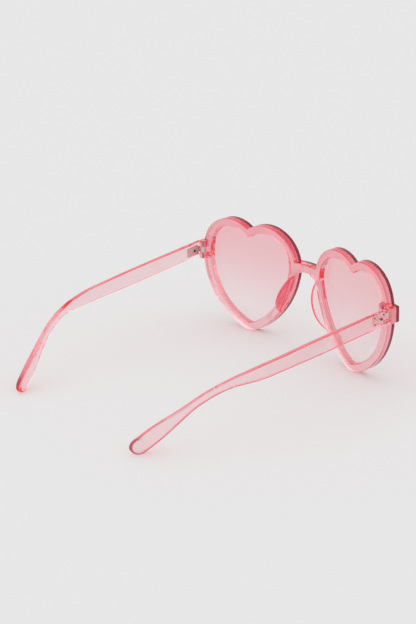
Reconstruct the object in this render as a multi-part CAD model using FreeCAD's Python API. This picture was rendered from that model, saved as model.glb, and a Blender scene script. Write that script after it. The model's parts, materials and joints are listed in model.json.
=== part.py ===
import FreeCAD, Part
import math
import os

# Heart shaped sunglasses, open, standing on the two heart bottoms and the two temple tips.
# Millimetres: +X is the wearer's left, +Y runs back along the temples, +Z is up.

V = FreeCAD.Vector

# Outline of one heart, seen from the front
heart_spacing = 77.2
heart_height = 60.8
cusp_depth = 3.7
temple_lobe_offset = 10.95
nose_lobe_offset = 11.5
temple_side_radius = 39.7
nose_side_radius = 53.2
heart_bottom_radius = 10.0

# Stance of the front: both halves sweep back from a bent bridge and lean towards the wearer
sweep_angle = 9.6
bridge_bend_radius = 40.0
front_tilt = 2.2

# Lens sheet and the moulded rim behind it
lens_thickness = 2.0
bond_gap = 0.05
rim_depth = 3.05
rim_width = 4.4

# Bridge, an arched bar between the nose sides of the hearts
bridge_top = 45.4
bridge_height = 4.6
bridge_half_span = 9.0
bridge_top_rise = 0.5
bridge_arch_rise = 3.0

# Nose pads, fins moulded on the nose sides of the rims
pad_reach = 6.1
pad_top = 38.5
pad_bottom = 13.5
pad_thickness = 1.8
pad_inset = -0.7
pad_edge_steps = 4

# Temples: straight arm, ear bend downwards, paddle tip, and an inward curve in plan
temple_thickness = 2.8
temple_chamfer = 0.55
temple_toe_in = 2.3
temple_drop = 7.0
straight_length = 89.0
ear_bend_radius = 50.0
ear_angle = 38.0
hinge_end_height = 7.7
middle_height = 8.1
shoulder_height = 7.2
neck_height = 3.7
tip_height = 7.7
shoulder_before_bend = 14.0
neck_after_bend = 13.0
neck_length = 9.5
paddle_after_bend = 48.0
tip_upper_radius = 2.4
tip_lower_radius = 4.3
tip_end_thickness = 1.5
side_curve_start = 89.0
side_curve_radius = 112.0
side_curve_angle = 25.0
body_sections = 32
tip_sections = 8
tip_last_angle = 84.0

# Hinge: two moulded eyes on the end piece, one metal eye on the temple, a screw as pin
hinge_height = 40.8
hinge_setback = 2.2
eye_radius = 1.75
eye_to_rim = 0.35
knuckle_height = 9.6
leaf_eye_height = 3.0
eye_gap = 0.1
lug_flare = 1.5
butt_before_axis = 0.8
butt_gap = 0.1
end_piece_gap = 0.15

# Tab of the lens and end piece, from the widest point of the heart out to the temple
tab_reach = 3.45
tab_height = 8.3
tab_corner_radius = 0.8
tab_inset = 0.2

# Hinge screw
screw_radius = 0.7
screw_fit = 0.02
screw_running_gap = 0.05
screw_head_radius = 1.05
screw_head_height = 0.8
screw_end = 0.4
screw_slot_width = 0.3
screw_slot_depth = 0.3

# Temple hinge leaf, set into the inner face of the temple
leaf_thickness = 0.9
leaf_recess = 0.5
leaf_length = 7.6
leaf_height = 5.2
leaf_start = 1.9
leaf_arm_width = 1.5
leaf_fit = 0.03
stud_radius = 0.35
stud_length = 1.0
stud_inset = 0.9

# Hollow rivet through the leaf into the temple
rivet_radius = 0.78
rivet_bore_radius = 0.52
rivet_flange_radius = 1.15
rivet_flange = 0.2
rivet_depth = 1.4
rivet_fit = 0.02
rivet_after_axis = 4.6

# Worked out from the sizes above
front_depth = lens_thickness + bond_gap + rim_depth
heart_axis = heart_spacing / 2
sweep = math.radians(sweep_angle)
tilt = math.radians(front_tilt)
reach = 4 * heart_height
front_lift = (heart_axis * math.tan(sweep) + front_depth / math.cos(sweep)) * math.sin(tilt)
knuckle_top = hinge_height + knuckle_height / 2
knuckle_bottom = hinge_height - knuckle_height / 2


def heart_side(side):
    """Lobe centre, side arc centre and side arc radius of a heart's temple side (1) or nose side (-1)."""
    offset = temple_lobe_offset if side > 0 else nose_lobe_offset
    side_radius = temple_side_radius if side > 0 else nose_side_radius
    lobe_radius = (offset ** 2 + cusp_depth ** 2) / (2 * cusp_depth)
    lobe = V(side * offset, 0, heart_height - lobe_radius)
    to_lobe = side_radius - lobe_radius
    to_bottom = side_radius - heart_bottom_radius
    span = V(0, 0, heart_bottom_radius) - lobe
    along = (to_lobe ** 2 - to_bottom ** 2 + span.Length ** 2) / (2 * span.Length)
    across = math.sqrt(to_lobe ** 2 - along ** 2)
    normal = V(span.z, 0, -span.x).normalize()
    if normal.x * side > 0:
        normal = -normal
    return lobe, lobe + span.normalize() * along + normal * across, side_radius


def heart_half_width():
    """From a heart's axis to the widest point of its temple side."""
    lobe, flank, side_radius = heart_side(1)
    if lobe.z > flank.z:
        return flank.x + side_radius
    return lobe.x + heart_height - lobe.z


temple_outer_x = heart_axis + heart_half_width() + tab_reach
temple_inner_x = temple_outer_x - temple_thickness
hinge_x = temple_inner_x - hinge_setback


def front_y(x, depth, z):
    """Y of the tilted front at a given X and height, at a depth behind the lens face."""
    flat = x * math.tan(sweep) + depth / math.cos(sweep)
    return flat * math.cos(tilt) + z * math.sin(tilt)


hinge_y = front_y(hinge_x, front_depth, knuckle_top) + eye_to_rim + eye_radius
butt_y = hinge_y - butt_before_axis


def arc(centre, start, end):
    """Shorter arc from start to end about a centre."""
    radius = (start - centre).Length
    middle = centre + ((start - centre) + (end - centre)).normalize() * radius
    return Part.Arc(start, middle, end).toShape()


def line(start, end):
    return Part.LineSegment(start, end).toShape()


def step(start, towards, distance):
    return start + (towards - start).normalize() * distance


def closed_face(edges):
    return Part.Face(Part.Wire(Part.__sortEdges__(edges)))


def along_y(face):
    """Prism through the whole depth of the object from a face in the XZ plane."""
    face.translate(V(0, -reach, 0))
    return face.extrude(V(0, 2 * reach, 0))


def box(low, high):
    size = high - low
    return Part.makeBox(size.x, size.y, size.z, low)


def mirrored(shape):
    return shape.mirror(V(0, 0, 0), V(1, 0, 0))


def heart_face(inset):
    """Heart of five tangent arcs about its own axis, moved inwards; the cusp turns into a small arc."""
    bottom = V(0, 0, heart_bottom_radius)
    cusp = V(0, 0, heart_height - cusp_depth)
    edges = []
    starts = []
    feet = []
    for side in (1, -1):
        lobe, flank, side_radius = heart_side(side)
        start = step(cusp, lobe, inset)
        shoulder = step(flank, lobe, side_radius - inset)
        foot = step(flank, bottom, side_radius - inset)
        edges += [arc(lobe, start, shoulder), arc(flank, shoulder, foot)]
        starts.append(start)
        feet.append(foot)
    edges.append(arc(bottom, feet[0], feet[1]))
    if inset > 0:
        edges.append(arc(cusp, starts[0], starts[1]))
    return closed_face(edges)


def heart_prism(inset):
    face = heart_face(inset)
    face.translate(V(heart_axis, 0, 0))
    return along_y(face)


def bent_layer(near, far):
    """Sheet between two depths behind the lens face: flat halves joined by a bend at the bridge."""
    centre_y = bridge_bend_radius / math.cos(sweep)
    paths = []
    for depth in (near, far):
        radius = bridge_bend_radius - depth
        bend = V(radius * math.sin(sweep), centre_y - radius * math.cos(sweep), 0)
        end = bend + V(math.cos(sweep), math.sin(sweep), 0) * reach
        paths.append((bend, end, V(0, centre_y - radius, 0)))
    edges = []
    for bend, end, apex in paths:
        other_bend = V(-bend.x, bend.y, 0)
        other_end = V(-end.x, end.y, 0)
        edges += [
            line(other_end, other_bend),
            Part.Arc(other_bend, apex, bend).toShape(),
            line(bend, end),
        ]
    near_end, far_end = paths[0][1], paths[1][1]
    edges.append(line(near_end, far_end))
    edges.append(line(V(-near_end.x, near_end.y, 0), V(-far_end.x, far_end.y, 0)))
    face = closed_face(edges)
    face.translate(V(0, 0, -reach))
    return face.extrude(V(0, 0, 2 * reach))


def bridge_prism():
    """Bar with an arched top and a rounder underside, run on into both rims as far as the heart axes."""
    edges = []
    ends = []
    for height, rise in ((bridge_top, bridge_top_rise), (bridge_top - bridge_height, bridge_arch_rise)):
        corner = V(bridge_half_span, 0, height - rise)
        end = V(heart_axis, 0, height - rise)
        edges += [
            Part.Arc(V(-corner.x, 0, corner.z), V(0, 0, height), corner).toShape(),
            line(corner, end),
            line(V(-corner.x, 0, corner.z), V(-end.x, 0, end.z)),
        ]
        ends.append(end)
    edges += [line(ends[0], ends[1]), line(V(-ends[0].x, 0, ends[0].z), V(-ends[1].x, 0, ends[1].z))]
    return along_y(closed_face(edges))


def tab_prism(inner_x):
    """Prism of the end tab, rounded at its two outer corners."""
    low = hinge_height - front_lift - tab_height / 2
    high = low + tab_height
    outer = temple_outer_x - tab_inset
    radius = tab_corner_radius
    edges = [
        line(V(inner_x, 0, low), V(outer - radius, 0, low)),
        arc(V(outer - radius, 0, low + radius), V(outer - radius, 0, low), V(outer, 0, low + radius)),
        line(V(outer, 0, low + radius), V(outer, 0, high - radius)),
        arc(V(outer - radius, 0, high - radius), V(outer, 0, high - radius), V(outer - radius, 0, high)),
        line(V(outer - radius, 0, high), V(inner_x, 0, high)),
        line(V(inner_x, 0, high), V(inner_x, 0, low)),
    ]
    return along_y(closed_face(edges))


def stand_up(shape):
    """Lean the front towards the wearer and set its lowest edge on the table."""
    shape.rotate(V(0, 0, 0), V(1, 0, 0), -front_tilt)
    shape.translate(V(0, 0, front_lift))
    return shape


def front_lens():
    """One sheet in the outline of both hearts, the bridge and the two tabs."""
    heart = heart_prism(0)
    tab = tab_prism(heart_axis)
    outline = heart.multiFuse([mirrored(heart), tab, mirrored(tab), bridge_prism()])
    return stand_up(outline.common(bent_layer(0, lens_thickness)).removeSplitter())


def nose_pad():
    """Half disc with a round edge, set along the nose side of the rim and standing out behind it."""
    lobe, flank, side_radius = heart_side(-1)
    ends = []
    for z in (pad_top, pad_bottom):
        ends.append(V(heart_axis + flank.x - math.sqrt(side_radius ** 2 - (z - flank.z) ** 2), 0, z))
    top, low = ends
    middle = (top + low) * 0.5
    inwards = V(top.z - low.z, 0, low.x - top.x).normalize()
    rim_y = middle.x * math.tan(sweep) + (front_depth - rim_depth / 2) / math.cos(sweep)
    half_chord = (top - low).Length / 2
    height = pad_reach + rim_depth / 2
    radius = (half_chord ** 2 + height ** 2) / (2 * height)
    centre = middle + inwards * (pad_inset + pad_thickness / 2) + V(0, rim_y + height - radius, 0)
    half = pad_thickness / 2
    section = [centre + inwards * half]
    for step_number in range(pad_edge_steps + 1):
        angle = math.pi * step_number / pad_edge_steps
        rim_point = V(0, radius - half * (1 - math.sin(angle)), 0)
        section.append(centre + rim_point + inwards * (half * math.cos(angle)))
    section.append(centre - inwards * half)
    disc = Part.Face(Part.makePolygon(section + section[:1])).revolve(centre, inwards, 360)
    return disc.common(box(V(0, rim_y, -reach), V(heart_axis, reach, reach)))


def hinge_lugs():
    """Two moulded eyes, one above and one below the metal eye, each on a flared root."""
    lugs = []
    bands = (
        (hinge_height + leaf_eye_height / 2 + eye_gap, knuckle_top),
        (knuckle_bottom, hinge_height - leaf_eye_height / 2 - eye_gap),
    )
    root_y = front_y(hinge_x, front_depth - rim_depth / 2, hinge_height)
    for low, high in bands:
        eye = Part.makeCylinder(eye_radius, high - low, V(hinge_x, hinge_y, low))
        corners = [
            V(hinge_x - eye_radius, hinge_y, low),
            V(hinge_x - eye_radius - lug_flare, root_y, low),
            V(temple_inner_x + end_piece_gap, root_y, low),
            V(hinge_x + eye_radius, hinge_y, low),
        ]
        root = Part.Face(Part.makePolygon(corners + corners[:1])).extrude(V(0, 0, high - low))
        lugs.append(eye.fuse(root))
    head_seat = screw_head_height + screw_fit
    bore = Part.makeCylinder(screw_radius + screw_fit, knuckle_height, V(hinge_x, hinge_y, knuckle_bottom))
    seat = Part.makeCylinder(
        screw_head_radius + screw_fit, head_seat, V(hinge_x, hinge_y, knuckle_top - head_seat)
    )
    return [lug.cut(bore).cut(seat) for lug in lugs]


def front_frame():
    """Both rims, the bridge, the nose pads and the end pieces with their eyes, in one moulding."""
    layer = bent_layer(lens_thickness + bond_gap, front_depth)
    rim = heart_prism(0).common(layer)
    opening = heart_prism(rim_width)
    rim = rim.cut(opening)
    tab = tab_prism(heart_axis).common(layer).cut(opening)
    deep_tab = tab_prism(temple_inner_x + end_piece_gap).common(
        bent_layer(lens_thickness + bond_gap, front_depth + 2 * eye_radius)
    )
    pad = nose_pad()
    half = [rim, tab, pad]
    bridge = bridge_prism().common(layer).cut(opening).cut(mirrored(opening))
    leaning = [stand_up(piece) for piece in half + [mirrored(piece) for piece in half] + [bridge]]
    behind_butt = box(V(0, butt_y - butt_gap, -reach), V(reach, reach, reach))
    block = stand_up(deep_tab).cut(behind_butt)
    upright = [block] + hinge_lugs()
    upright += [mirrored(piece) for piece in upright]
    return leaning[0].multiFuse(leaning[1:] + upright).removeSplitter()


def centre_point(distance):
    """Point of the temple's centre line in side view, and the angle at which it falls there."""
    drop = math.radians(temple_drop)
    end = math.radians(ear_angle)
    straight = min(distance, straight_length)
    y = butt_y + straight * math.cos(drop)
    z = hinge_height - straight * math.sin(drop)
    turned = min(max(distance - straight_length, 0) / ear_bend_radius, end - drop)
    angle = drop + turned
    y += ear_bend_radius * (math.sin(angle) - math.sin(drop))
    z -= ear_bend_radius * (math.cos(drop) - math.cos(angle))
    rest = max(distance - straight_length - ear_bend_radius * (end - drop), 0)
    return V(0, y + rest * math.cos(angle), z - rest * math.sin(angle)), angle


def temple_height(distance):
    """Height of the temple: deep arm, slim neck over the ear, paddle tip."""
    stations = (
        (0, hinge_end_height),
        (straight_length / 2, middle_height),
        (straight_length - shoulder_before_bend, shoulder_height),
        (straight_length + neck_after_bend, neck_height),
        (straight_length + neck_after_bend + neck_length, neck_height),
        (straight_length + paddle_after_bend, tip_height),
    )
    distance = max(distance, 0)
    for (start, before), (end, after) in zip(stations, stations[1:]):
        if distance <= end:
            share = (distance - start) / (end - start)
            return before + (after - before) * share * share * (3 - 2 * share)
    return tip_height


def side_curve(y):
    """X of the temple's middle in plan before its toe-in, and the angle it has turned inwards."""
    radius = side_curve_radius - temple_thickness / 2
    along = min(max(y - side_curve_start, 0), radius * math.sin(math.radians(side_curve_angle)))
    turned = math.asin(along / radius)
    x = temple_outer_x - temple_thickness / 2 - radius * (1 - math.cos(turned))
    return x - max(y - side_curve_start - along, 0) * math.tan(turned), turned


def temple_section(distance, below, above, thickness):
    """Oblong with broken corners across the temple, from below to above its centre line."""
    point, fall = centre_point(distance)
    point.x, turned = side_curve(point.y)
    wide = V(math.cos(turned), math.sin(turned), 0)
    tall = V(-math.sin(turned) * math.sin(fall), math.cos(turned) * math.sin(fall), math.cos(fall))
    half = thickness / 2
    chamfer = min(temple_chamfer, half / 2, (above + below) / 4)
    quarter = ((half, above - chamfer), (half - chamfer, above))
    outline = list(quarter) + [(-across, up) for across, up in reversed(quarter)]
    lower = ((-half, chamfer - below), (chamfer - half, -below))
    outline += list(lower) + [(-across, up) for across, up in reversed(lower)]
    corners = [point + wide * across + tall * up for across, up in outline]
    return Part.makePolygon(corners + corners[:1])


def temple_arm():
    """Loft along the centre line to the paddle, and a second one that closes its rounded end."""
    fall = math.radians(ear_angle)
    bend_end = straight_length + ear_bend_radius * math.radians(ear_angle - temple_drop)
    tip_z = tip_lower_radius * (1 - math.sin(fall))
    tip_z += (tip_height / 2 - tip_lower_radius) * math.cos(fall)
    tip = bend_end + (centre_point(bend_end)[0].z - tip_z) / math.sin(fall)
    body_end = tip - tip_lower_radius
    lead = -temple_thickness
    sections = []
    for index in range(body_sections + 1):
        distance = lead + (body_end - lead) * index / body_sections
        half = temple_height(distance) / 2
        sections.append(temple_section(distance, half, half, temple_thickness))
    body = Part.makeLoft(sections, True)
    sections = []
    for index in range(tip_sections + 1):
        angle = index / tip_sections * math.radians(tip_last_angle)
        lost = 1 - math.cos(angle)
        sections.append(
            temple_section(
                body_end + tip_lower_radius * math.sin(angle),
                tip_height / 2 - tip_lower_radius * lost,
                tip_height / 2 - tip_upper_radius * lost,
                temple_thickness - (temple_thickness - tip_end_thickness) * lost,
            )
        )
    paddle_end = Part.makeLoft(sections, True)
    before_butt = box(V(0, -reach, -reach), V(reach, butt_y, reach))
    return body.fuse(paddle_end).cut(before_butt)


def toed_in(shape):
    shape.rotate(V(hinge_x, hinge_y, 0), V(0, 0, 1), temple_toe_in)
    return shape


def along_temple(shape):
    """Turn a level hinge piece to the fall of the temple."""
    shape.rotate(V(hinge_x, hinge_y, hinge_height), V(1, 0, 0), -temple_drop)
    return shape


def leaf_bodies(fit):
    """Plate and tongue of the leaf, grown by a fit when they cut the pocket in the temple."""
    inner = temple_inner_x + leaf_recess - leaf_thickness
    outer = temple_inner_x + leaf_recess + fit
    plate_y = hinge_y + leaf_start
    plate = box(
        V(inner, plate_y - fit, hinge_height - leaf_height / 2 - fit),
        V(outer, plate_y + leaf_length + fit, hinge_height + leaf_height / 2 + fit),
    )
    tongue = box(
        V(inner, hinge_y - leaf_arm_width / 2 - fit, hinge_height - leaf_eye_height / 2 - fit),
        V(outer, plate_y + leaf_length / 2, hinge_height + leaf_eye_height / 2 + fit),
    )
    return [along_temple(plate), tongue]


def leaf_studs(fit):
    """Four anchor studs on the back of the leaf, near its corners."""
    studs = []
    for y in (leaf_start + stud_inset, leaf_start + leaf_length - stud_inset):
        for z in (-leaf_height / 2 + stud_inset, leaf_height / 2 - stud_inset):
            root = V(temple_inner_x, hinge_y + y, hinge_height + z)
            length = leaf_recess + stud_length + fit
            studs.append(along_temple(Part.makeCylinder(stud_radius + fit, length, root, V(1, 0, 0))))
    return studs


def rivet_cylinder(radius, start_x, end_x):
    root = V(start_x, hinge_y + rivet_after_axis, hinge_height)
    return along_temple(Part.makeCylinder(radius, end_x - start_x, root, V(1, 0, 0)))


def temple_hinge():
    """Metal leaf with its eye between the two moulded eyes."""
    plate, tongue = leaf_bodies(0)
    low = hinge_height - leaf_eye_height / 2
    eye = Part.makeCylinder(eye_radius, leaf_eye_height, V(hinge_x, hinge_y, low))
    arm = box(
        V(hinge_x, hinge_y - leaf_arm_width / 2, low),
        V(temple_inner_x + leaf_recess, hinge_y + leaf_arm_width / 2, low + leaf_eye_height),
    )
    leaf = plate.multiFuse([tongue, eye, arm] + leaf_studs(0)).removeSplitter()
    bore = Part.makeCylinder(screw_radius + screw_running_gap, leaf_eye_height, V(hinge_x, hinge_y, low))
    hole = rivet_cylinder(rivet_radius + rivet_fit, hinge_x, temple_outer_x)
    return toed_in(leaf.cut(bore).cut(hole))


def hinge_rivet():
    """Hollow rivet: flange on the leaf, shank into the temple, open bore."""
    face_x = temple_inner_x + leaf_recess - leaf_thickness
    end_x = temple_inner_x + leaf_recess + rivet_depth
    flange = rivet_cylinder(rivet_flange_radius, face_x - rivet_flange, face_x)
    shank = rivet_cylinder(rivet_radius, face_x - rivet_flange, end_x)
    bore = rivet_cylinder(rivet_bore_radius, face_x - rivet_flange, end_x - rivet_flange)
    return toed_in(flange.fuse(shank).cut(bore).removeSplitter())


def temple():
    """Moulded arm with the pocket for its leaf, studs and rivet."""
    arm = temple_arm()
    pocket = leaf_bodies(leaf_fit) + leaf_studs(leaf_fit)
    end_x = temple_inner_x + leaf_recess + rivet_depth + rivet_fit
    pocket.append(rivet_cylinder(rivet_radius + rivet_fit, hinge_x, end_x))
    return toed_in(arm.cut(pocket[0].multiFuse(pocket[1:])))


def hinge_screw():
    """Slotted screw, the pin of the hinge, with its end just through the lower eye."""
    head_low = knuckle_top - screw_head_height
    low = knuckle_bottom - screw_end
    shank = Part.makeCylinder(screw_radius, head_low - low, V(hinge_x, hinge_y, low))
    head = Part.makeCylinder(screw_head_radius, screw_head_height, V(hinge_x, hinge_y, head_low))
    slot = box(
        V(hinge_x - 2 * screw_head_radius, hinge_y - screw_slot_width / 2, knuckle_top - screw_slot_depth),
        V(hinge_x + 2 * screw_head_radius, hinge_y + screw_slot_width / 2, knuckle_top + screw_slot_depth),
    )
    return shank.fuse(head).cut(slot).removeSplitter()


pieces = {"front_frame": front_frame(), "front_lens": front_lens()}
for name, maker in (
    ("temple", temple),
    ("temple_hinge", temple_hinge),
    ("hinge_rivet", hinge_rivet),
    ("hinge_screw", hinge_screw),
):
    left = maker()
    pieces["left_" + name] = left
    pieces["right_" + name] = mirrored(left)

# The origin is the middle of the footprint, so the depth of the whole pair is halved
bounds = FreeCAD.BoundBox()
for shape in pieces.values():
    bounds.add(shape.optimalBoundingBox(False, False))
middle_y = bounds.Center.y
floor_z = bounds.ZMin

os.makedirs("parts", exist_ok=True)
for name, shape in pieces.items():
    shape.translate(V(0, -middle_y, -floor_z))
    shape.exportStep("parts/" + name + ".step")
    print(name, len(shape.Solids), shape.isValid(), round(shape.Volume, 1))
print("hinge axis", hinge_x, hinge_y - middle_y, hinge_height - floor_z)
print("middle_y", middle_y, "floor_z", floor_z)
print("size", bounds.XLength, bounds.YLength, bounds.ZLength)
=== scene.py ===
"""Looks of heart shaped sunglasses in clear pink plastic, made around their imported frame."""

import json
import math

import bmesh
import bpy
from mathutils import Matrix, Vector
from mathutils.geometry import intersect_point_line


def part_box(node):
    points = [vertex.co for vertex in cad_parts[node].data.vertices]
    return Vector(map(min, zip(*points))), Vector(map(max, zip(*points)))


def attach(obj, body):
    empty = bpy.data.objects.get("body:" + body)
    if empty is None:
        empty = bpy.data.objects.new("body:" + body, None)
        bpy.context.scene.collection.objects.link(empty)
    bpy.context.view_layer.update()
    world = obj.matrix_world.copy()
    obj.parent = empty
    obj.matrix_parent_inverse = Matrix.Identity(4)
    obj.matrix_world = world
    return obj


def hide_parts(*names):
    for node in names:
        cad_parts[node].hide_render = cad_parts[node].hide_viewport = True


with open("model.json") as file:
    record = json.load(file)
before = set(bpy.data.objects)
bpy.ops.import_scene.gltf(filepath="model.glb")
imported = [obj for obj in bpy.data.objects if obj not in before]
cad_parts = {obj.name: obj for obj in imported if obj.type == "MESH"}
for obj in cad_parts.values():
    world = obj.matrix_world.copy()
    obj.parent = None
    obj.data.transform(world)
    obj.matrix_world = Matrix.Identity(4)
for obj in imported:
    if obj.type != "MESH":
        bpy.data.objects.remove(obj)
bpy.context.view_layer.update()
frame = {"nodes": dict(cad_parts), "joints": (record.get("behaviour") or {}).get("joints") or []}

# Front frame
# One moulding of clear pink plastic: two heart rims, the bridge, the nose pads and the end pieces.
# The mould leaves the corners of the rims slightly round on the side that faces the wearer.

outer_corner_radius = 0.0005
inner_corner_radius = 0.0009
corner_segments = 3
rim_axis = 0.0386
rim_middle_height = 0.035
rim_split_height = 0.0275
pad_low = 0.008
pad_high = 0.0425
hinge_zone = 0.060
weld_distance = 0.000002
flat_angle = math.radians(0.6)
square_angle = math.radians(60)
smooth_angle = math.radians(50)
facing_back = 0.9
facing_sideways = 0.3


def merged_copy(node):
    """Copy of a CAD piece with its loose triangles joined along their edges."""
    shape = bmesh.new()
    shape.from_mesh(frame["nodes"][node].data)
    bmesh.ops.remove_doubles(shape, verts=shape.verts, dist=weld_distance)
    return shape


def split_back(shape, point, normal):
    """Seam across the faces that look at the wearer, so that each half ring is a plain face."""
    parts = set()
    for face in shape.faces:
        if face.normal.y > facing_back:
            parts.update([face, *face.edges, *face.verts])
    cut = bmesh.ops.bisect_plane(
        shape,
        geom=list(parts),
        plane_co=point,
        plane_no=normal,
        dist=weld_distance,
    )
    for element in cut["geom_cut"]:
        if isinstance(element, bmesh.types.BMEdge):
            element.seam = True


def is_rim_corner(edge, outer):
    """True for the square outer or inner corners of the front on the wearer's side, off pads and hinges."""
    if not edge.is_convex or edge.calc_face_angle() < square_angle:
        return False
    side, back = sorted(edge.link_faces, key=lambda face: face.normal.y)
    if back.normal.y < facing_back or abs(side.normal.y) > facing_sideways:
        return False
    middle = (edge.verts[0].co + edge.verts[1].co) / 2
    from_axis = middle.x - math.copysign(rim_axis, middle.x)
    outwards = side.normal.x * from_axis + side.normal.z * (middle.z - rim_middle_height)
    beside_pad = outwards > 0 and abs(middle.x) < rim_axis and pad_low < middle.z < pad_high
    return (outwards > 0) == outer and abs(middle.x) < hinge_zone and not beside_pad


def moulded_piece(shape, name, sharp_from=smooth_angle):
    """Smooth object from a finished shape, whose broad faces keep their flat shine."""
    mesh = bpy.data.meshes.new(name)
    shape.to_mesh(mesh)
    shape.free()
    mesh.polygons.foreach_set("use_smooth", [True] * len(mesh.polygons))
    mesh.set_sharp_from_angle(angle=sharp_from)
    piece = bpy.data.objects.new(name, mesh)
    bpy.context.scene.collection.objects.link(piece)
    shine = piece.modifiers.new("broad_faces_flat", "WEIGHTED_NORMAL")
    shine.keep_sharp = True
    return piece


front_shape = merged_copy("front_frame")
for seam_x in (-rim_axis, 0, rim_axis):
    split_back(front_shape, (seam_x, 0, 0), (1, 0, 0))
split_back(front_shape, (0, 0, rim_split_height), (0, 0, 1))
bmesh.ops.dissolve_limit(
    front_shape,
    angle_limit=flat_angle,
    verts=front_shape.verts,
    edges=front_shape.edges,
    delimit={"SEAM"},
)
for outer, radius in ((True, outer_corner_radius), (False, inner_corner_radius)):
    bmesh.ops.bevel(
        front_shape,
        geom=[edge for edge in front_shape.edges if is_rim_corner(edge, outer)],
        affect="EDGES",
        offset=radius,
        segments=corner_segments,
        profile=0.5,
        material=-1,
    )
front = moulded_piece(front_shape, "moulded_front")

# Light crosses and turns back in clear plastic many times before it leaves it
light_turns = 160
tracing = bpy.context.scene.cycles
tracing.max_bounces = light_turns
tracing.transmission_bounces = light_turns
tracing.glossy_bounces = light_turns
tracing.transparent_max_bounces = light_turns


def feed(tree, socket, value):
    """Link a socket to another node's output, or set it to a plain value."""
    if isinstance(value, bpy.types.NodeSocket):
        tree.links.new(value, socket)
    else:
        socket.default_value = value


def worked_out(tree, operation, *values):
    """Result of one Math node."""
    step = tree.nodes.new("ShaderNodeMath")
    step.operation = operation
    for socket, value in zip(step.inputs, values):
        feed(tree, socket, value)
    return step.outputs["Value"]


def ramp(tree, value, start, end, low=0.0, high=1.0):
    """Value that goes from low to high while the given one goes from start to end."""
    step = tree.nodes.new("ShaderNodeMapRange")
    for socket, given in zip(step.inputs, (value, start, end, low, high)):
        feed(tree, socket, given)
    return step.outputs["Result"]


def between(tree, share, first, second):
    """Value between two others."""
    return ramp(tree, share, 0.0, 1.0, first, second)


def mixed_colour(tree, share, first, second):
    """Colour between two others."""
    step = tree.nodes.new("ShaderNodeMix")
    step.data_type = "RGBA"
    feed(tree, step.inputs["Factor"], share)
    feed(tree, step.inputs["A"], first)
    feed(tree, step.inputs["B"], second)
    return step.outputs["Result"]


def surface_place(tree):
    """Where a point of the surface lies and which way it faces, each as X, Y and Z."""
    given = tree.nodes.new("ShaderNodeTexCoord")
    parts = []
    for source in ("Object", "Normal"):
        split = tree.nodes.new("ShaderNodeSeparateXYZ")
        tree.links.new(given.outputs[source], split.inputs["Vector"])
        parts.append(split.outputs)
    return parts


def outward_facing(tree, where, facing):
    """How far the surface faces away from the middle of the pair, from -1 to 1."""
    side = worked_out(tree, "SIGN", where["X"])
    return worked_out(tree, "MULTIPLY", facing["X"], side)


cloud_scale = 60.0
cloud_detail = 3.0
cloud_range = (0.45, 0.75)
scratch_scale = 900.0
scratch_detail = 2.0
moulded_finish = (0.02, 0.08)


def handling_marks():
    """Node group: faint clouds and fine scratches that vary the gloss and the height of a face."""
    group = bpy.data.node_groups.new("handling_marks", "ShaderNodeTree")
    gloss, dulled = moulded_finish
    settings = {
        "Cloud Scale": cloud_scale,
        "Scratch Scale": scratch_scale,
        "Gloss": gloss,
        "Dulled": dulled,
    }
    for name, value in settings.items():
        socket = group.interface.new_socket(name, in_out="INPUT", socket_type="NodeSocketFloat")
        socket.default_value = value
    for name in ("Roughness", "Height"):
        group.interface.new_socket(name, in_out="OUTPUT", socket_type="NodeSocketFloat")
    given = group.nodes.new("NodeGroupInput").outputs
    result = group.nodes.new("NodeGroupOutput").inputs
    place = group.nodes.new("ShaderNodeTexCoord")
    noises = {}
    for scale, detail in (("Cloud Scale", cloud_detail), ("Scratch Scale", scratch_detail)):
        noise = group.nodes.new("ShaderNodeTexNoise")
        noise.inputs["Detail"].default_value = detail
        group.links.new(place.outputs["Object"], noise.inputs["Vector"])
        group.links.new(given[scale], noise.inputs["Scale"])
        noises[scale] = noise.outputs["Fac"]
    roughness = ramp(group, noises["Cloud Scale"], *cloud_range, given["Gloss"], given["Dulled"])
    group.links.new(roughness, result["Roughness"])
    group.links.new(noises["Scratch Scale"], result["Height"])
    return group


marks = handling_marks()


def add_marks(tree, skin, finish, strength, height):
    """Marks of handling on a skin, whose finish is the roughness of its clean and of its dulled patches."""
    gloss, dulled = finish
    wear = tree.nodes.new("ShaderNodeGroup")
    wear.node_tree = marks
    wear.inputs["Gloss"].default_value = gloss
    wear.inputs["Dulled"].default_value = dulled
    relief = tree.nodes.new("ShaderNodeBump")
    relief.inputs["Strength"].default_value = strength
    relief.inputs["Distance"].default_value = height
    tree.links.new(wear.outputs["Roughness"], skin.inputs["Roughness"])
    tree.links.new(wear.outputs["Height"], relief.inputs["Height"])
    tree.links.new(relief.outputs["Normal"], skin.inputs["Normal"])
    return wear


def node_material(name):
    """Material without nodes, and its tree."""
    material = bpy.data.materials.new(name)
    material.use_nodes = True
    material.node_tree.nodes.clear()
    return material, material.node_tree


plastic_index = 1.49
ripple_strength = 0.04
ripple_height = 0.0002


def clear_skin(tree, finish):
    """Polished clear plastic with the marks of handling."""
    skin = tree.nodes.new("ShaderNodeBsdfPrincipled")
    skin.inputs["Transmission Weight"].default_value = 1.0
    skin.inputs["IOR"].default_value = plastic_index
    add_marks(tree, skin, finish, ripple_strength, ripple_height)
    return skin


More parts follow.
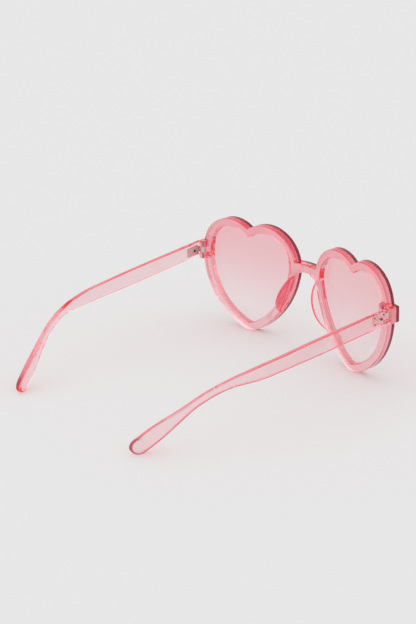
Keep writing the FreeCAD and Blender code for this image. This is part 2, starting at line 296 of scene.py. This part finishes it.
def let_light_through(tree, skin, shadow_colour):
    """Output of a clear piece: the lamp and the pale room reach the table through it as a tinted light."""
    output = tree.nodes.new("ShaderNodeOutputMaterial")
    rays = tree.nodes.new("ShaderNodeLightPath")
    tint = tree.nodes.new("ShaderNodeBsdfTransparent")
    tint.inputs["Color"].default_value = shadow_colour
    surface = skin.outputs["BSDF"]
    for kind in ("Is Diffuse Ray", "Is Shadow Ray"):
        either = tree.nodes.new("ShaderNodeMixShader")
        tree.links.new(rays.outputs[kind], either.inputs["Fac"])
        tree.links.new(surface, either.inputs[1])
        tree.links.new(tint.outputs["BSDF"], either.inputs[2])
        surface = either.outputs["Shader"]
    tree.links.new(surface, output.inputs["Surface"])
    return output


plastic_shadow = (0.975, 0.85, 0.86, 1)
depth_density = 130.0


def clear_plastic(name, depth_colour):
    """Clear moulded plastic, pinker the longer light travels in it."""
    material, tree = node_material(name)
    skin = clear_skin(tree, moulded_finish)
    output = let_light_through(tree, skin, plastic_shadow)
    depth = tree.nodes.new("ShaderNodeVolumeAbsorption")
    depth.inputs["Color"].default_value = depth_colour
    depth.inputs["Density"].default_value = depth_density
    tree.links.new(depth.outputs["Volume"], output.inputs["Volume"])
    return material, tree, skin


front_depth_colour = (1.0, 0.40, 0.475, 1)
plain_tint = (1.0, 0.99, 0.99, 1)
front_plastic, tree, skin = clear_plastic("clear_pink_front", front_depth_colour)
where, facing = surface_place(tree)
aside = worked_out(tree, "ABSOLUTE", where["X"])
outwards = outward_facing(tree, where, facing)

# How far back a point lies once the sweep and the lean of the front are taken off
rim_back_slope = 0.169
rim_back_lean = 0.0384
rim_back_depth = -0.0742
rim_thickness = 0.0031
behind = worked_out(tree, "MULTIPLY_ADD", aside, -rim_back_slope, where["Y"])
behind = worked_out(tree, "MULTIPLY_ADD", where["Z"], -rim_back_lean, behind)

# The nose pads stand out behind the rims, and their nose side and round edge are painted a deep red,
# painted shade for the colour that light gathers in them
pad_reach_x = 0.030
pad_fade = 0.003
pad_root = 0.0012
pad_blend = 0.0012
fin_root = 0.0004
fin_blend = 0.0006
nose_side_range = (0.2, -0.5)
round_edge_range = (0.85, 0.55)
beside_pad = worked_out(tree, "LESS_THAN", aside, pad_reach_x)
above_end = ramp(tree, where["Z"], pad_low, pad_low + pad_fade)
below_end = ramp(tree, where["Z"], pad_high, pad_high - pad_fade)
for limit in (above_end, below_end):
    beside_pad = worked_out(tree, "MULTIPLY", beside_pad, limit)
off_rim = ramp(tree, behind, rim_back_depth - pad_root, rim_back_depth - pad_root + pad_blend)
on_pad = worked_out(tree, "MULTIPLY", off_rim, beside_pad)
past_rim = ramp(tree, behind, rim_back_depth + fin_root, rim_back_depth + fin_root + fin_blend)
round_edge = worked_out(tree, "MULTIPLY", past_rim, ramp(tree, outwards, *round_edge_range))
nose_side = worked_out(tree, "MAXIMUM", ramp(tree, outwards, *nose_side_range), round_edge)

# That colour runs in streaks along the pads, alike on both sides of the nose
pad_lean = math.radians(-28)
streak_stretch = 9.0
streak_scale = 900.0
streak_detail = 1.0
streak_range = (0.35, 0.65)
faint_streak = 0.62
full_tint = (1.0, 0.052, 0.13, 1)
folded = tree.nodes.new("ShaderNodeCombineXYZ")
feed(tree, folded.inputs["X"], aside)
feed(tree, folded.inputs["Y"], where["Y"])
feed(tree, folded.inputs["Z"], where["Z"])
along_pad = tree.nodes.new("ShaderNodeMapping")
along_pad.vector_type = "TEXTURE"
along_pad.inputs["Rotation"].default_value = (0, pad_lean, 0)
along_pad.inputs["Scale"].default_value = (1, 1, streak_stretch)
tree.links.new(folded.outputs["Vector"], along_pad.inputs["Vector"])
streaks = tree.nodes.new("ShaderNodeTexNoise")
streaks.inputs["Scale"].default_value = streak_scale
streaks.inputs["Detail"].default_value = streak_detail
tree.links.new(along_pad.outputs["Vector"], streaks.inputs["Vector"])
pad_share = ramp(tree, streaks.outputs["Fac"], *streak_range, faint_streak)
for zone in (on_pad, nose_side):
    pad_share = worked_out(tree, "MULTIPLY", pad_share, zone)

# The walls of the rims are painted a deeper pink, painted shade for the light they carry along the hearts,
# most of all on the outer walls at the top.
# Beside the pads they are clearer, with a painted fine line of colour along the lens
wall_tint = (0.88, 0.055, 0.13, 1)
inner_wall_share = 0.38
low_wall_share = 0.30
low_nose_share = 0.18
top_wall_share = 0.90
side_wall_share = 0.48
upwards_range = (-0.1, 0.35)
top_wall_range = (0.036, 0.043)
sideways_range = (0.1, 0.7)
lens_line_start = rim_back_depth - rim_thickness
lens_line_width = 0.0007
lens_line_share = 0.85
wall_range = (0.93, 0.6)
from_axis = worked_out(tree, "SUBTRACT", aside, rim_axis)
from_middle = worked_out(tree, "SUBTRACT", where["Z"], rim_middle_height)
off_centre = worked_out(tree, "MULTIPLY", outwards, from_axis)
off_centre = worked_out(tree, "MULTIPLY_ADD", facing["Z"], from_middle, off_centre)
is_outer = worked_out(tree, "GREATER_THAN", off_centre, 0.0)
upwards = ramp(tree, facing["Z"], *upwards_range)
on_top = worked_out(tree, "MULTIPLY", upwards, ramp(tree, where["Z"], *top_wall_range))
top_share = ramp(tree, outwards, *sideways_range, top_wall_share, side_wall_share)
low_share = between(tree, beside_pad, low_wall_share, low_nose_share)
outer_share = between(tree, on_top, low_share, top_share)
at_lens = ramp(tree, behind, lens_line_start + lens_line_width, lens_line_start + lens_line_width / 2)
nose_share = worked_out(tree, "MULTIPLY", at_lens, lens_line_share)
inner_share = between(tree, beside_pad, inner_wall_share, nose_share)
full_share = between(tree, is_outer, inner_share, outer_share)
wall_share = ramp(tree, worked_out(tree, "ABSOLUTE", facing["Y"]), *wall_range, 0.0, full_share)

# The round corners between the walls and the wearer's side are painted a line of the wall colour, as
# painted shade. The pads take no wall colour
corner_share = 0.6
past_face_range = (0.96, 0.88)
before_wall_range = (0.3, 0.55)
past_face = ramp(tree, facing["Y"], *past_face_range, 0.0, corner_share)
before_wall = ramp(tree, facing["Y"], *before_wall_range)
corner_line = worked_out(tree, "MULTIPLY", past_face, before_wall)
wall_share = worked_out(tree, "MAXIMUM", wall_share, corner_line)
wall_share = worked_out(tree, "MULTIPLY", wall_share, worked_out(tree, "SUBTRACT", 1.0, on_pad))
rim_colour = mixed_colour(tree, wall_share, plain_tint, wall_tint)
feed(tree, skin.inputs["Base Color"], mixed_colour(tree, pad_share, rim_colour, full_tint))

front.data.materials.append(front_plastic)
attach(front, "front")
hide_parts("front_frame")

# Lens sheet
# One sheet of dyed plastic, cut to the outline of hearts, bridge and end tabs and bonded to the front.
# Its dye is deepest at the top and fades downwards; the sawn edge is matt, and is painted dark on its
# outside and pale on its inside, painted shade for the light trapped in the sheet.

lens_broad_face = 0.6
lens_fold = math.radians(5)
lens_shape = merged_copy("front_lens")
for face in lens_shape.faces:
    face.material_index = int(abs(face.normal.y) < lens_broad_face)
lens = moulded_piece(lens_shape, "graded_lens", lens_fold)

lens_top_colour = (1.0, 0.62, 0.655, 1)
lens_bottom_colour = (1.0, 0.97, 0.975, 1)
lens_shadow = (0.985, 0.88, 0.89, 1)
lens_finish = (0.01, 0.04)
fade_range = (-0.002, 0.052)
sheet_material, tree = node_material("graded_pink_lens")
sheet = clear_skin(tree, lens_finish)
let_light_through(tree, sheet, lens_shadow)
where, facing = surface_place(tree)
dye = ramp(tree, where["Z"], *fade_range)
dye.node.interpolation_type = "SMOOTHSTEP"
feed(tree, sheet.inputs["Base Color"], mixed_colour(tree, dye, lens_bottom_colour, lens_top_colour))

# Painted shade: the sawn edge is painted dark maroon where its outside is seen, and pale pink where it is
# seen from within the sheet
painted_dark_edge = (0.11, 0.003, 0.006, 1)
sawn_inside = (1.0, 0.80, 0.82, 1)
sawn_shine = (0.55, 0.12, 0.14, 1)
sawn_shadow = (0.40, 0.30, 0.31, 1)
sawn_finish = (0.25, 0.45)
edge_material, tree = node_material("sawn_lens_edge")
sawn = clear_skin(tree, sawn_finish)
sawn.inputs["Specular Tint"].default_value = sawn_shine
let_light_through(tree, sawn, sawn_shadow)
from_inside = tree.nodes.new("ShaderNodeNewGeometry").outputs["Backfacing"]
feed(tree, sawn.inputs["Base Color"], mixed_colour(tree, from_inside, painted_dark_edge, sawn_inside))

lens.data.materials.append(sheet_material)
lens.data.materials.append(edge_material)
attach(lens, "front")
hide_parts("front_lens")

# Temples
# Two side arms of the same clear pink plastic, each moulded with a pocket for the leaf that hinges it.
# All their long edges are rounded, and are painted a darker line, deepest at the tips, as painted shade for
# the colour that light gathers in them.

temple_depth_colour = (1.0, 0.42, 0.48, 1)
# Painted shade: darker pink on the long edges, dark red on the lower outer edge, deep red at the tips, a
# faint line on the lower inner edge
edge_tint = (1.0, 0.55, 0.60, 1)
under_tint = (0.80, 0.20, 0.25, 1)
tip_tint = (0.36, 0.02, 0.02, 1)
edge_range = (0.86, 0.60)
downwards_range = (-0.15, -0.5)
to_outside_range = (-0.2, 0.2)
tip_range = (0.0700, 0.0750)
inner_line = 0.25
temple_plastic, tree, skin = clear_plastic("clear_pink_temple", temple_depth_colour)
where, facing = surface_place(tree)
outwards = outward_facing(tree, where, facing)
edge_share = ramp(tree, worked_out(tree, "ABSOLUTE", facing["X"]), *edge_range)
downwards = ramp(tree, facing["Z"], *downwards_range)
under_outside = worked_out(tree, "MULTIPLY", downwards, ramp(tree, outwards, *to_outside_range))
under_inside = worked_out(tree, "SUBTRACT", downwards, under_outside)
edge_share = worked_out(tree, "MULTIPLY", edge_share, between(tree, under_inside, 1.0, inner_line))
edge_colour = mixed_colour(tree, under_outside, edge_tint, under_tint)
at_tip = ramp(tree, where["Y"], *tip_range)
edge_colour = mixed_colour(tree, at_tip, edge_colour, tip_tint)
arm_colour = mixed_colour(tree, edge_share, plain_tint, edge_colour)

# A painted dark line, painted shade, follows the lower outline of the outer face, stronger past the neck,
# and goes round the tip
contour_tint = (0.64, 0.07, 0.11, 1)
contour_width = 0.0016
faint_contour = 0.35
neck_range = (0.005, 0.045)
outer_face_range = (0.3, 0.6)
tip_middle_y = 0.0735
tip_middle_z = 0.0039
tip_stretch = 1.118
tip_blend = 0.0015
tip_line_range = (0.0030, 0.0035)


def length_of(tree, across, up):
    """Length that two distances at a right angle make."""
    squared = worked_out(tree, "MULTIPLY", across, across)
    squared = worked_out(tree, "MULTIPLY_ADD", up, up, squared)
    return worked_out(tree, "SQRT", squared)


stored = tree.nodes.new("ShaderNodeAttribute")
stored.attribute_name = "from_outline"
near_outline = ramp(tree, stored.outputs["Fac"], contour_width, contour_width / 2)
along_tip = worked_out(tree, "SUBTRACT", where["Y"], tip_middle_y)
up_tip = worked_out(tree, "SUBTRACT", where["Z"], tip_middle_z)
past_middle = ramp(tree, along_tip, -tip_blend, tip_blend)
from_tip = length_of(tree, worked_out(tree, "MULTIPLY", along_tip, tip_stretch), up_tip)
round_tip = ramp(tree, from_tip, *tip_line_range)
contour = between(tree, past_middle, near_outline, round_tip)
outer_face = ramp(tree, outwards, *outer_face_range)
past_neck = ramp(tree, where["Y"], *neck_range, faint_contour)
for zone in (outer_face, past_neck):
    contour = worked_out(tree, "MULTIPLY", contour, zone)
line_colour = mixed_colour(tree, at_tip, contour_tint, tip_tint)
feed(tree, skin.inputs["Base Color"], mixed_colour(tree, contour, arm_colour, line_colour))

facing_outside = 0.35
facing_down = -0.35


def to_edge(point, edge):
    """Distance of a point from an edge."""
    start, end = [vertex.co for vertex in edge.verts]
    share = intersect_point_line(point, start, end)[1]
    return (point - start.lerp(end, min(max(share, 0.0), 1.0))).length


def mark_outline(shape, outside):
    """Store how far each point lies from the lower outline of the arm's outer face, for its painted dark
    line.
    """
    outer = {face for face in shape.faces if face.normal.x * outside > facing_outside}
    outline = []
    for edge in shape.edges:
        rest = [face for face in edge.link_faces if face not in outer]
        if len(rest) == 1 and rest[0].normal.z < facing_down:
            outline.append(edge)
    distance = shape.verts.layers.float.new("from_outline")
    for vertex in shape.verts:
        vertex[distance] = min(to_edge(vertex.co, edge) for edge in outline)


for side, outside in (("left", 1), ("right", -1)):
    arm_shape = merged_copy(side + "_temple")
    mark_outline(arm_shape, outside)
    arm = moulded_piece(arm_shape, "moulded_" + side + "_temple")
    arm.data.materials.append(temple_plastic)
    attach(arm, side + "_arm")
    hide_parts(side + "_temple")

# Hinge metal
# Stamped leaf on the inner face of each temple, a hollow rivet through it and a slotted steel screw as pin.
# The leaf is plated, with a fine brushed grain, and its outward side is painted lighter as painted light;
# the rivet's bore is painted dark as painted shade, and the ends of the leaf's studs are dark.

metal_cloud_scale = 400.0
metal_scratch_scale = 4000.0
grain_strength = 0.2
grain_height = 0.00005
metal_back_range = (0.3, 0.7)
# Painted shade in the rivet's bore; the ends of the leaf's studs take the same dark colour
bore_shade_and_stud_dark = (0.05, 0.010, 0.012, 1)


def hinge_metal(name, colour, back_colour, finish, is_dark):
    """Brushed metal, with another colour on its outward side, painted lighter on the leaf, and a dark zone
    that the given test works out: painted shade in the rivet's bore, dark ends on the leaf's studs.
    """
    material, tree = node_material(name)
    output = tree.nodes.new("ShaderNodeOutputMaterial")
    metal = tree.nodes.new("ShaderNodeBsdfPrincipled")
    metal.inputs["Metallic"].default_value = 1.0
    grain = add_marks(tree, metal, finish, grain_strength, grain_height)
    grain.inputs["Cloud Scale"].default_value = metal_cloud_scale
    grain.inputs["Scratch Scale"].default_value = metal_scratch_scale
    tree.links.new(metal.outputs["BSDF"], output.inputs["Surface"])
    where, facing = surface_place(tree)
    on_back = ramp(tree, outward_facing(tree, where, facing), *metal_back_range)
    metal_colour = mixed_colour(tree, on_back, colour, back_colour)
    # The dark zone: painted shade in the rivet's bore, dark stud ends on the leaf
    if is_dark:
        metal_colour = mixed_colour(tree, is_dark(tree, where), metal_colour, bore_shade_and_stud_dark)
    feed(tree, metal.inputs["Base Color"], metal_colour)
    return material


bore_reach = 0.00072
rivet_low, rivet_high = [Vector(corner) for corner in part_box("left_hinge_rivet")]
rivet_middle = (rivet_low + rivet_high) / 2


def in_bore(tree, where):
    """1 inside the bore of the rivet, by the distance from its axis."""
    across = worked_out(tree, "SUBTRACT", where["Y"], rivet_middle.y)
    up = worked_out(tree, "SUBTRACT", where["Z"], rivet_middle.z)
    return worked_out(tree, "LESS_THAN", length_of(tree, across, up), bore_reach)


stud_root = 0.0695
toe_in_slope = math.tan(math.radians(2.3))
left_hinge = Vector(frame["joints"][0]["pos_m"])


def on_stud(tree, where):
    """1 on the studs of the leaf, by the distance from the plane of the leaf."""
    aside = worked_out(tree, "ABSOLUTE", where["X"])
    outside = worked_out(tree, "MULTIPLY_ADD", where["Y"], toe_in_slope, aside)
    return worked_out(tree, "GREATER_THAN", outside, stud_root + toe_in_slope * left_hinge.y)


leaf_front = (0.80, 0.61, 0.585, 1)
# The leaf's outward side, seen through the arm, is painted lighter: painted light
leaf_back = (1.0, 0.80, 0.79, 1)
leaf_finish = (0.3, 0.45)
rivet_colour = (0.74, 0.60, 0.57, 1)
rivet_finish = (0.25, 0.4)
steel_colour = (0.62, 0.60, 0.59, 1)
steel_finish = (0.2, 0.35)
metals = {
    "temple_hinge": hinge_metal("plated_leaf", leaf_front, leaf_back, leaf_finish, on_stud),
    "hinge_rivet": hinge_metal("rivet_metal", rivet_colour, rivet_colour, rivet_finish, in_bore),
    "hinge_screw": hinge_metal("screw_steel", steel_colour, steel_colour, steel_finish, None),
}
for part, metal in metals.items():
    for side in ("left", "right"):
        piece = frame["nodes"][side + "_" + part]
        piece.data.materials.clear()
        piece.data.materials.append(metal)

# Table and light
# A plain pale table top, an even pale room and one broad soft lamp above, as in a small photo tent.

table_half_size = 6.0
table_colour = (0.80, 0.795, 0.795, 1)
table_roughness = 0.9
table_shine = 0.1
table_shape = bmesh.new()
bmesh.ops.create_grid(table_shape, x_segments=1, y_segments=1, size=table_half_size)
table_mesh = bpy.data.meshes.new("table")
table_shape.to_mesh(table_mesh)
table_shape.free()
table = bpy.data.objects.new("table", table_mesh)
bpy.context.scene.collection.objects.link(table)
table_material, tree = node_material("pale_table")
output = tree.nodes.new("ShaderNodeOutputMaterial")
paper = tree.nodes.new("ShaderNodeBsdfPrincipled")
paper.inputs["Base Color"].default_value = table_colour
paper.inputs["Roughness"].default_value = table_roughness
paper.inputs["Specular IOR Level"].default_value = table_shine
tree.links.new(paper.outputs["BSDF"], output.inputs["Surface"])
table_mesh.materials.append(table_material)

room_colour = (1, 1, 1, 1)
room_light = 0.86
room_seen = 1.0
world = bpy.data.worlds.new("pale_room")
world.use_nodes = True
tree = world.node_tree
room = tree.nodes["Background"]
room.inputs["Color"].default_value = room_colour
rays = tree.nodes.new("ShaderNodeLightPath")
room_level = between(tree, rays.outputs["Is Transmission Ray"], room_light, room_seen)
feed(tree, room.inputs["Strength"], room_level)
bpy.context.scene.world = world

lamp_strength = 0.5
lamp_spread = math.radians(70)
lamp_direction = Vector((-0.25, -0.3, -1.0))
lamp_data = bpy.data.lights.new("soft_lamp", "SUN")
lamp_data.energy = lamp_strength
lamp_data.angle = lamp_spread
lamp = bpy.data.objects.new("soft_lamp", lamp_data)
lamp.rotation_euler = lamp_direction.to_track_quat("-Z", "Y").to_euler()
bpy.context.scene.collection.objects.link(lamp)

# Camera
# Behind the wearer's right shoulder, looking down at the open pair.

sensor_height = 36.0
focal_length = 88.67
nearest_seen = 0.01
camera_aside = -0.53985
camera_behind_hinge = 0.508984
camera_height = 0.29359
camera_dip = math.radians(20.06)
camera_heading = math.radians(229.8)
camera_data = bpy.data.cameras.new("photo_camera")
camera_data.sensor_fit = "VERTICAL"
camera_data.sensor_height = sensor_height
camera_data.lens = focal_length
camera_data.clip_start = nearest_seen
camera = bpy.data.objects.new("photo_camera", camera_data)
camera.location = (camera_aside, left_hinge.y + camera_behind_hinge, camera_height)
camera.rotation_euler = (math.radians(90) - camera_dip, 0, camera_heading)
bpy.context.scene.collection.objects.link(camera)
bpy.context.scene.camera = camera
bpy.context.scene.view_settings.view_transform = "Standard"
